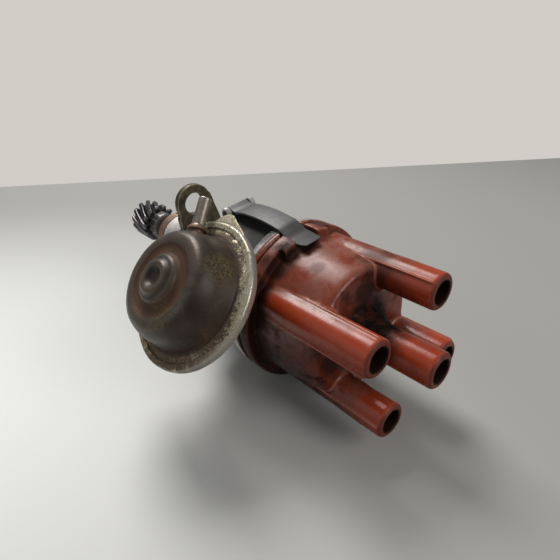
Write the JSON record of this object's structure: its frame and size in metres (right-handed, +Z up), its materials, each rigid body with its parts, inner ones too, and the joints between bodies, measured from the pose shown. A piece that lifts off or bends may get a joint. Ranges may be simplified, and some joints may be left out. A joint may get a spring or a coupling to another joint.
{
  "type": "ignition distributor",
  "caption": "Contact-breaker ignition distributor with vacuum can, spring-clipped phenolic cap, hold-down fork and skew drive gear.",
  "frame": {"origin": "on the shaft's axis, at the shoulder where the round shank meets the hold-down clamp's underside", "axes": "+X along the shaft from the gear towards the cap; +Z up as the part lies on its side"},
  "size_m": [0.2485, 0.1329, 0.0997],
  "materials": {
    "housing_metal": "cast, grimy",
    "steel_dark": "oily steel",
    "steel": "plain steel",
    "bronze": "sintered bush",
    "brass": "brass",
    "phenolic": "red-brown phenolic",
    "brown_board": "laminated board",
    "carbon": "carbon",
    "felt": "felt",
    "cup_paint": "worn dark paint over rust",
    "zinc_plate": "zinc plate, speckled",
    "rubber_cloth": "rubberised cloth",
    "collar_rust": "rust-brown steel",
    "clamp_paint": "olive-brown dirt over plating",
    "spring_steel": "spring steel"
  },
  "bodies": {
    "housing": {"housing": "housing_metal", "shaft_bushes": "bronze", "thrust_washers": "steel", "base_plate": "zinc_plate", "base_plate_screws": "steel", "plate_retainer": "spring_steel", "terminal_insulator": "brown_board", "low_tension_terminal": "brass", "dust_shield": "brown_board", "vacuum_base": "zinc_plate", "vacuum_cup": "cup_paint", "vacuum_nipple": "steel", "vacuum_screws": "steel", "clip_pins": "steel_dark", "diaphragm": "rubber_cloth", "diaphragm_spring": "spring_steel"},
    "shaft": {"drive_shaft": "steel", "thrust_collar": "collar_rust", "cross_pins": "steel_dark", "drive_gear": "steel_dark", "weight_carrier": "steel", "spindle_circlip": "spring_steel", "advance_spring_1": "spring_steel", "advance_spring_2": "spring_steel"},
    "cam": {"cam_sleeve": "steel", "rotor_arm": "phenolic", "rotor_blade": "brass", "oil_felt": "felt"},
    "weight_1": {"weight_1": "steel"},
    "weight_2": {"weight_2": "steel"},
    "breaker": {"breaker_plate": "zinc_plate", "fixed_contact": "steel", "contact_screw": "steel", "condenser": "zinc_plate", "condenser_strap": "zinc_plate"},
    "arm": {"breaker_arm": "steel", "rubbing_block": "brown_board", "arm_spring": "spring_steel"},
    "rod": {"pull_rod": "steel"},
    "clip_1": {"spring_clip_1": "spring_steel"},
    "clip_2": {"spring_clip_2": "spring_steel"},
    "cap": {"distributor_cap": "phenolic", "plug_terminals": "brass", "coil_terminal": "brass", "brush_spring": "spring_steel"},
    "brush": {"carbon_brush": "carbon"},
    "clamp": {"hold_down_clamp": "clamp_paint"}
  },
  "joints": [
    {"name": "shaft_spin", "type": "hinge", "parent": "housing", "child": "shaft", "pos_m": [0, 0, 0], "axis": [1, 0, 0], "continuous": true},
    {"name": "cam_advance", "type": "hinge", "parent": "shaft", "child": "cam", "pos_m": [0.08, 0, 0], "axis": [1, 0, 0], "range_deg": [0, 12], "stiffness_Nm_per_rad": 0.1, "springref_deg": -2.86},
    {"name": "weight_1_swing", "type": "hinge", "parent": "shaft", "child": "weight_1", "pos_m": [0.0625, 0.018, 0], "axis": [1, 0, 0], "range_deg": [-13, 0], "deforming": ["advance_spring_1"]},
    {"name": "weight_2_swing", "type": "hinge", "parent": "shaft", "child": "weight_2", "pos_m": [0.0625, -0.018, 0], "axis": [1, 0, 0], "range_deg": [-13, 0], "deforming": ["advance_spring_2"]},
    {"name": "vacuum_pull", "type": "slide", "parent": "housing", "child": "rod", "axis": [0, -0.7694, 0.6388], "range_m": [0, 0.004], "stiffness_N_per_m": 1000, "springref_m": -0.001, "deforming": ["diaphragm", "diaphragm_spring"]},
    {"name": "plate_swing", "type": "hinge", "parent": "housing", "child": "breaker", "pos_m": [0.0788, 0, 0], "axis": [1, 0, 0], "range_deg": [-10.6, 0]},
    {"name": "breaker_arm_open", "type": "hinge", "parent": "breaker", "child": "arm", "pos_m": [0.085, 0.01978, 0.01428], "axis": [1, 0, 0], "range_deg": [-2, 0], "stiffness_Nm_per_rad": 0.1, "springref_deg": 5.73, "deforming": ["arm_spring"]},
    {"name": "clip_1_open", "type": "hinge", "parent": "housing", "child": "clip_1", "pos_m": [0.0595, -0.00698, 0.03959], "axis": [0, -0.9848, -0.1736], "range_deg": [0, 100]},
    {"name": "clip_2_open", "type": "hinge", "parent": "housing", "child": "clip_2", "pos_m": [0.0595, 0.00698, -0.03959], "axis": [0, 0.9848, 0.1736], "range_deg": [0, 100]},
    {"name": "cap_lift", "type": "slide", "parent": "housing", "child": "cap", "axis": [1, 0, 0], "range_m": [0, 0.065]},
    {"name": "brush_slide", "type": "slide", "parent": "cap", "child": "brush", "axis": [1, 0, 0], "range_m": [0, 0.002], "stiffness_N_per_m": 100, "springref_m": -0.003, "deforming": ["brush_spring"]},
    {"name": "clamp_swing", "type": "hinge", "parent": "housing", "child": "clamp", "pos_m": [0.002, 0, 0], "axis": [1, 0, 0], "range_deg": [-30, 30]}
  ],
  "couplings": [
    {"joint": "weight_1_swing", "follows": "cam_advance", "ratio": -1.047},
    {"joint": "weight_2_swing", "follows": "cam_advance", "ratio": -1.047},
    {"joint": "plate_swing", "follows": "vacuum_pull", "rad_per_m": -45.87}
  ]
}
